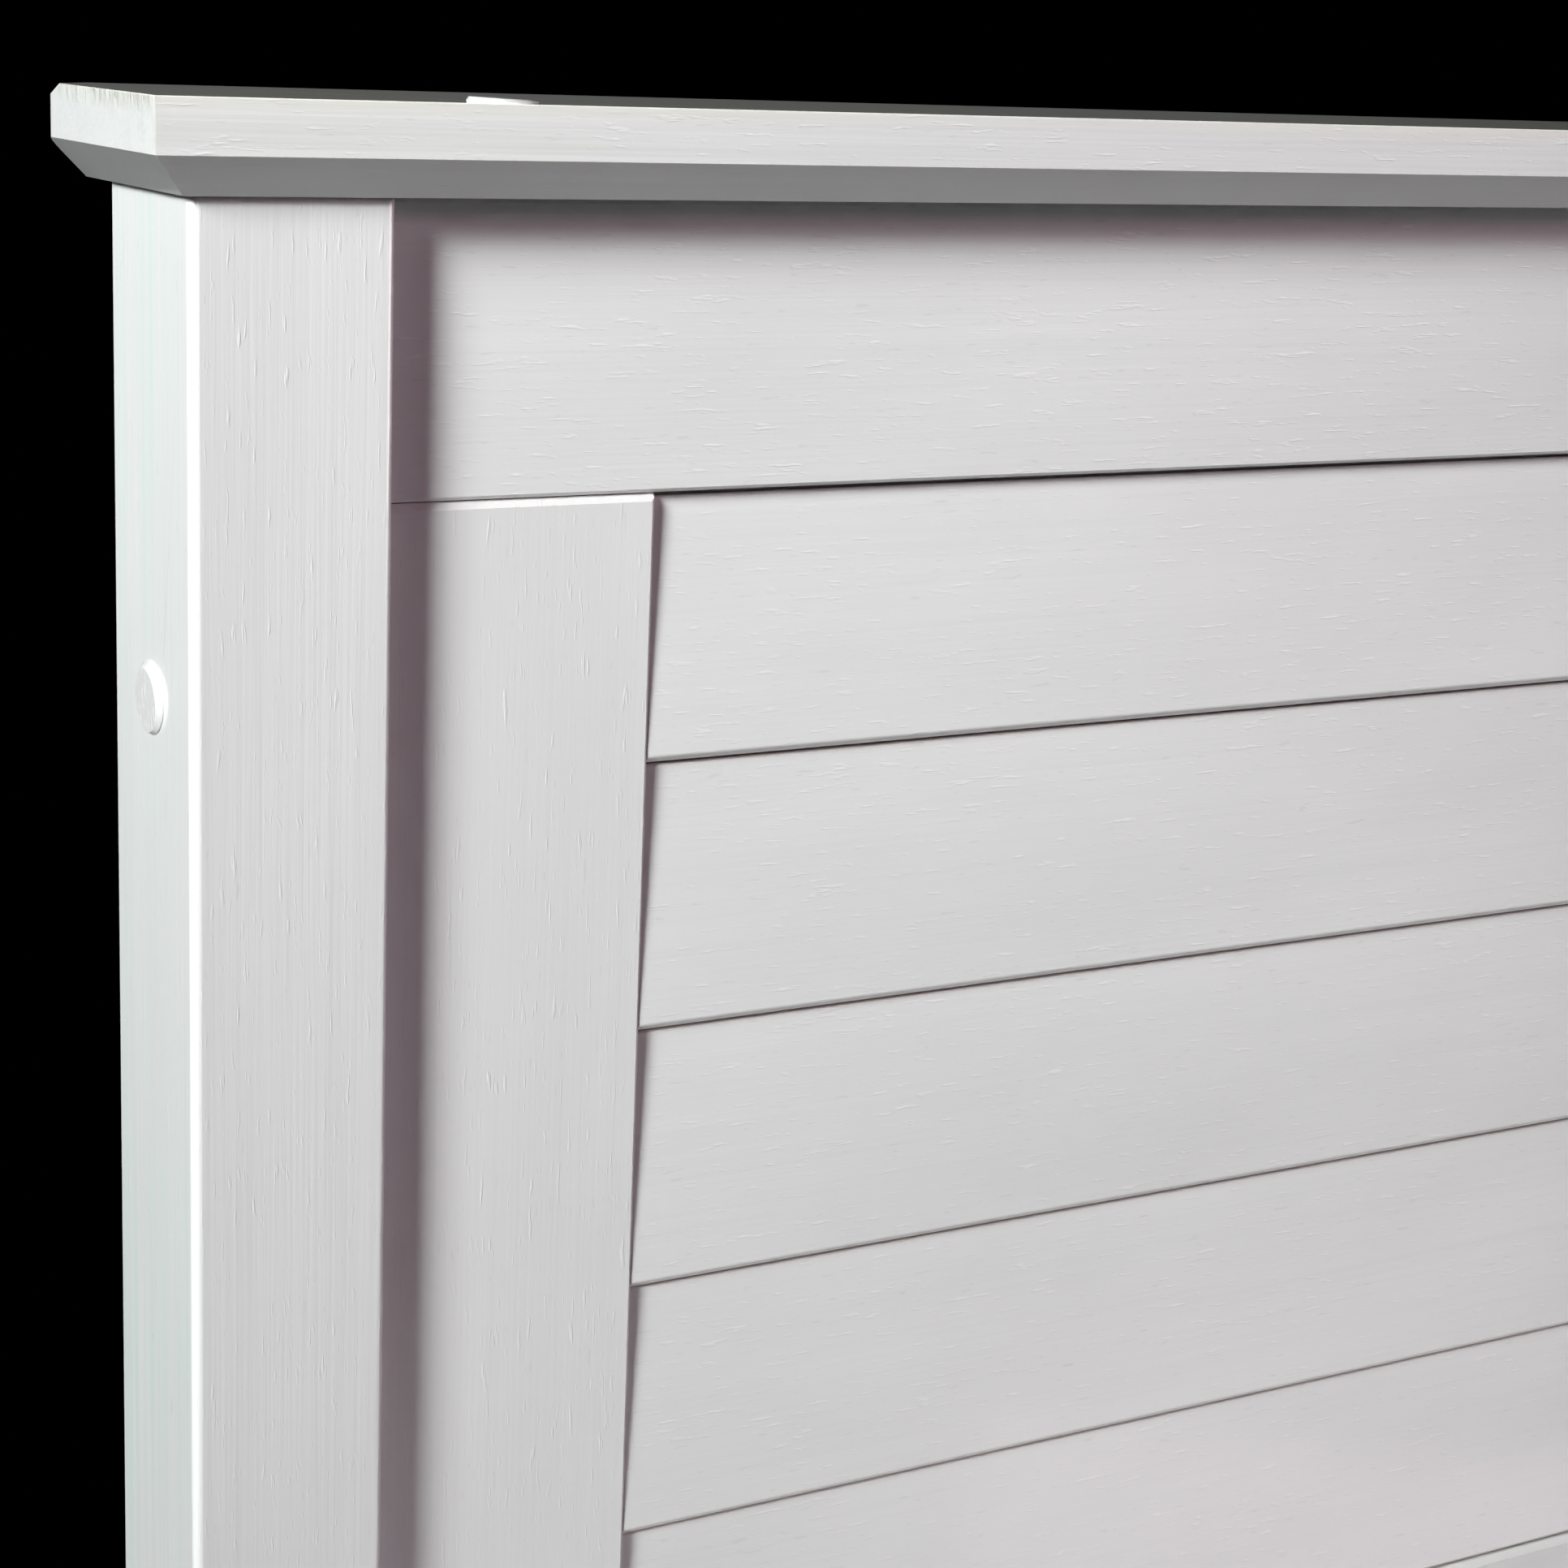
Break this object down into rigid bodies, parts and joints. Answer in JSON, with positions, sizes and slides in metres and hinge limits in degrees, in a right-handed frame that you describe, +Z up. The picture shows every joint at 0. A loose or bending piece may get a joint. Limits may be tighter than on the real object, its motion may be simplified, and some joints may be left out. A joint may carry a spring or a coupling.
{
  "type": "toy box bench",
  "caption": "Painted wooden toy box with a hinged lid that serves as a seat, slatted front and sides, and a tall slatted back under a bevelled cap board.",
  "frame": {"origin": "centre of the footprint, on the floor", "axes": "+X along the bench to the right seen from the front, +Y to the back, +Z up"},
  "size_m": [0.9, 0.43, 0.841],
  "materials": {
    "bare_pine": "planed, unpainted",
    "beech_dowel": "plain, fluted in the real one",
    "bumper_rubber": "soft, translucent white",
    "glide_plastic": "grey nylon",
    "hinge_steel": "nickel plated, satin",
    "screw_steel": "zinc plated",
    "white_paint_level": "white satin paint over horizontal pine grain",
    "white_paint_upright": "white satin paint over vertical pine grain",
    "white_plastic": "glossy moulded white"
  },
  "bodies": {
    "bench_frame": {"back_bottom_rail": "white_paint_level", "back_cap_board": "white_paint_level", "back_lower_panel": "white_paint_level", "back_mid_rail": "white_paint_level", "back_slat_1": "white_paint_level", "back_slat_2": "white_paint_level", "back_slat_3": "white_paint_level", "back_slat_4": "white_paint_level", "back_slat_5": "white_paint_level", "back_stile_left": "white_paint_upright", "back_stile_right": "white_paint_upright", "back_top_rail": "white_paint_level", "cap_board_plugs": "white_plastic", "chest_floor_panel": "bare_pine", "fixed_seat_strip": "white_paint_level", "floor_cleats_long": "bare_pine", "floor_cleats_short": "bare_pine", "frame_dowels": "beech_dowel", "front_bottom_rail": "white_paint_level", "front_post_left": "white_paint_upright", "front_post_right": "white_paint_upright", "front_slat_1": "white_paint_level", "front_slat_2": "white_paint_level", "front_slat_3": "white_paint_level", "front_stile_left": "white_paint_upright", "front_stile_right": "white_paint_upright", "front_top_rail": "white_paint_level", "hinge_fixed_leaves": "hinge_steel", "hinge_pins": "hinge_steel", "hinge_screws_fixed": "screw_steel", "left_side_bottom_rail": "white_paint_level", "left_side_front_stile": "white_paint_upright", "left_side_rear_stile": "white_paint_upright", "left_side_slat_1": "white_paint_level", "left_side_slat_2": "white_paint_level", "left_side_slat_3": "white_paint_level", "left_side_top_rail": "white_paint_level", "lid_bumpers": "bumper_rubber", "post_glides": "glide_plastic", "rear_post_left": "white_paint_upright", "rear_post_right": "white_paint_upright", "right_side_bottom_rail": "white_paint_level", "right_side_front_stile": "white_paint_upright", "right_side_rear_stile": "white_paint_upright", "right_side_slat_1": "white_paint_level", "right_side_slat_2": "white_paint_level", "right_side_slat_3": "white_paint_level", "right_side_top_rail": "white_paint_level", "seat_strip_cleat": "white_paint_level", "side_screw_caps": "white_plastic", "side_screws": "screw_steel"},
    "lid": {"lid_front_plank": "white_paint_level", "lid_middle_plank": "white_paint_level", "lid_rear_plank": "white_paint_level", "lid_batten_left": "white_paint_level", "lid_batten_right": "white_paint_level", "lid_batten_screws": "screw_steel", "hinge_moving_leaves": "hinge_steel", "hinge_screws_lid": "screw_steel"}
  },
  "joints": [
    {"name": "lid_hinge", "type": "hinge", "parent": "bench_frame", "child": "lid", "pos_m": [0, 0.1095, 0.4032], "axis": [-1, 0, 0], "range_deg": [0, 95]}
  ]
}
